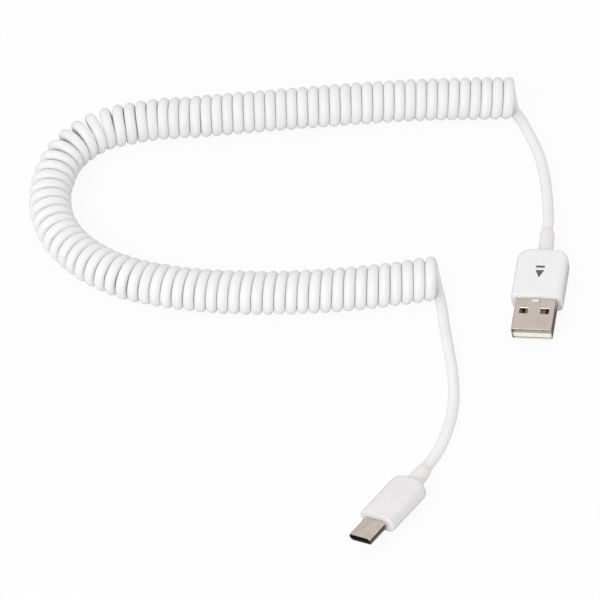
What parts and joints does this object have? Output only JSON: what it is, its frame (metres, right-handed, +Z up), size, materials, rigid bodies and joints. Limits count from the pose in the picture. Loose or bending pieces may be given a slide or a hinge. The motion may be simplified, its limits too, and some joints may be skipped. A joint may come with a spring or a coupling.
{
  "type": "coiled charging cable",
  "caption": "Coiled white USB charging cable lying in a loop, with a flat USB-A plug at one end and a slim oval USB-C plug at the other, each on a short strain relief.",
  "frame": {"origin": "middle of the flat underside of the USB-A housing, on the table the cable lies on", "axes": "+Z up from the table, -Y the way the USB-A plug points, +X to its right"},
  "size_m": [0.1731, 0.1754, 0.0133],
  "materials": {
    "white_plastic": "satin",
    "white_relief": "satin",
    "white_jacket": "satin",
    "nickel": "satin",
    "cream_plastic": "matte",
    "black_plastic": "matte",
    "gold": "polished",
    "steel": "satin",
    "board_green": "satin",
    "core_red": "satin",
    "core_white": "satin",
    "core_green": "satin",
    "core_black": "satin"
  },
  "bodies": {
    "coil": {"cable_usb_c_tail": "white_jacket", "coil_bend": "white_jacket", "coil_lower_run": "white_jacket", "coil_top_run": "white_jacket"},
    "usb_a_run": {"cable_usb_a_tail": "white_jacket"},
    "usb_a_plug": {"usb_a_cable_end": "white_jacket", "usb_a_contact_data_minus": "gold", "usb_a_contact_data_plus": "gold", "usb_a_contact_ground": "gold", "usb_a_contact_power": "gold", "usb_a_core_data_minus": "core_white", "usb_a_core_data_plus": "core_green", "usb_a_core_ground": "core_black", "usb_a_core_power": "core_red", "usb_a_housing": "white_plastic", "usb_a_rear_shield": "steel", "usb_a_shell": "nickel", "usb_a_strain_relief": "white_relief", "usb_a_tongue": "cream_plastic"},
    "usb_c_plug": {"usb_c_board": "board_green", "usb_c_cable_end": "white_jacket", "usb_c_core_data_minus": "core_white", "usb_c_core_data_plus": "core_green", "usb_c_core_ground": "core_black", "usb_c_core_power": "core_red", "usb_c_housing": "white_plastic", "usb_c_insulator": "black_plastic", "usb_c_latch_left": "steel", "usb_c_latch_right": "steel", "usb_c_lower_contact_01": "gold", "usb_c_lower_contact_04": "gold", "usb_c_lower_contact_05": "gold", "usb_c_lower_contact_09": "gold", "usb_c_lower_contact_12": "gold", "usb_c_rear_shield": "steel", "usb_c_resistor": "black_plastic", "usb_c_shell": "nickel", "usb_c_strain_relief": "white_relief", "usb_c_upper_contact_01": "gold", "usb_c_upper_contact_04": "gold", "usb_c_upper_contact_05": "gold", "usb_c_upper_contact_06": "gold", "usb_c_upper_contact_07": "gold", "usb_c_upper_contact_09": "gold", "usb_c_upper_contact_12": "gold"}
  },
  "joints": [
    {"name": "coil_stretch", "type": "slide", "parent": "coil", "child": "usb_a_run", "axis": [0.9945, 0.105, 0], "range_m": [0, 0.25], "stiffness_N_per_m": 4, "deforming": ["coil_top_run"]},
    {"name": "usb_a_relief_bend", "type": "hinge", "parent": "usb_a_run", "child": "usb_a_plug", "pos_m": [0, 0.0139, 0.00365], "axis": [0, 0, 1], "range_deg": [-30, 30], "stiffness_Nm_per_rad": 0.02, "deforming": ["usb_a_strain_relief", "usb_a_cable_end"]},
    {"name": "usb_c_relief_bend", "type": "hinge", "parent": "coil", "child": "usb_c_plug", "pos_m": [-0.02503, -0.07271, 0.00341], "axis": [0, 0, 1], "range_deg": [-30, 30], "stiffness_Nm_per_rad": 0.02, "deforming": ["usb_c_strain_relief", "usb_c_cable_end"]}
  ]
}
